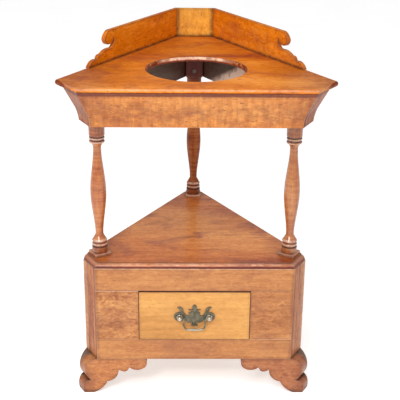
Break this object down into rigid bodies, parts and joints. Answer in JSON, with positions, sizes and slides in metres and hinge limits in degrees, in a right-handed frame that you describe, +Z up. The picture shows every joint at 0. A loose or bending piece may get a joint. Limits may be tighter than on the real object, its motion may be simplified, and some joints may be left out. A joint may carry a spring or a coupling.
{
  "type": "corner washstand",
  "caption": "Corner washstand with a basin hole in a flared top, scrolled gallery, turned posts, open shelf and a low case with one drawer on bracket feet.",
  "frame": {"origin": "on the floor, in the middle of the overall width and depth", "axes": "+Z up, +Y from the drawer's side towards the room's corner, +X to the right seen from the front"},
  "size_m": [0.6232, 0.574, 0.884],
  "materials": {
    "mahogany": "satin",
    "light_mahogany": "satin",
    "dark_mahogany": "polished",
    "inner_wood": "raw",
    "aged_brass": "aged",
    "dull_steel": "dull"
  },
  "bodies": {
    "stand": {"case_bottom": "inner_wood", "case_bottom_rail": "mahogany", "case_cant_left": "mahogany", "case_cant_right": "mahogany", "case_corner_board": "mahogany", "case_front_panel_left": "mahogany", "case_front_panel_right": "mahogany", "case_top_rail": "mahogany", "case_wall_left": "mahogany", "case_wall_right": "mahogany", "drawer_guide_left": "inner_wood", "drawer_guide_right": "inner_wood", "drawer_kicker_left": "inner_wood", "drawer_kicker_right": "inner_wood", "drawer_runner_left": "inner_wood", "drawer_runner_right": "inner_wood", "drawer_stops": "inner_wood", "foot_block_left": "inner_wood", "foot_block_right": "inner_wood", "foot_bracket_left": "mahogany", "foot_bracket_right": "mahogany", "foot_return_left": "mahogany", "foot_return_right": "mahogany", "frieze_cant_left": "mahogany", "frieze_cant_right": "mahogany", "frieze_front": "mahogany", "frieze_glue_blocks": "inner_wood", "frieze_wall_left": "mahogany", "frieze_wall_right": "mahogany", "front_plinth_left": "mahogany", "front_plinth_right": "mahogany", "front_post_left": "mahogany", "front_post_right": "mahogany", "gallery_corner_panel": "light_mahogany", "gallery_side_left": "mahogany", "gallery_side_right": "mahogany", "rear_foot": "inner_wood", "rear_plinth": "mahogany", "rear_post": "mahogany", "rear_post_screw": "dull_steel", "shelf_board": "dark_mahogany", "top_board": "mahogany"},
    "drawer": {"drawer_front": "light_mahogany", "drawer_side_left": "inner_wood", "drawer_side_right": "inner_wood", "drawer_back": "inner_wood", "drawer_bottom": "inner_wood", "pull_plate": "aged_brass", "pull_posts": "aged_brass", "pull_nuts": "dull_steel"},
    "bail": {"pull_bail": "aged_brass"}
  },
  "joints": [
    {"name": "drawer_slide", "type": "slide", "parent": "stand", "child": "drawer", "axis": [0, -1, 0], "range_m": [0, 0.18]},
    {"name": "bail_hinge", "type": "hinge", "parent": "drawer", "child": "bail", "pos_m": [0, -0.2064, 0.21518], "axis": [-1, 0, 0], "range_deg": [-8, 160]}
  ]
}
